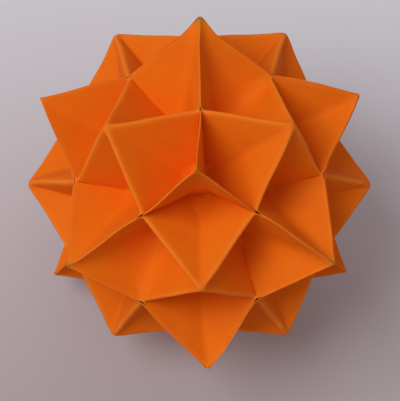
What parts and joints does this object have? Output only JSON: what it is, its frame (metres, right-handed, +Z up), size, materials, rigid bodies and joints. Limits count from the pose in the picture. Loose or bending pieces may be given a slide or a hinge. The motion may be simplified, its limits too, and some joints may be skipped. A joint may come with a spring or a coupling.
{
  "type": "kusudama paper ball",
  "caption": "Round ball of folded orange paper sheets with raised points, soft ridges and deep dents, glued edge to edge, used as a decoration.",
  "frame": {"origin": "on the surface that the ball lies on, straight below the middle of the ball", "axes": "+Z up; the ball lies on a sheet's peak, a point of three sheets and a point of four; -Y is the side that the upper front point of three sheets leans to"},
  "size_m": [0.1594, 0.1562, 0.1479],
  "materials": {
    "orange_paper": "matte uncoated coloured paper"
  },
  "bodies": {
    "root": {"upper_sheet_1": "orange_paper", "upper_sheet_2": "orange_paper", "upper_sheet_3": "orange_paper", "upper_sheet_4": "orange_paper", "middle_sheet_1": "orange_paper", "middle_sheet_2": "orange_paper", "middle_sheet_3": "orange_paper", "middle_sheet_4": "orange_paper", "lower_sheet_1": "orange_paper", "lower_sheet_2": "orange_paper", "lower_sheet_3": "orange_paper", "lower_sheet_4": "orange_paper"}
  },
  "joints": []
}
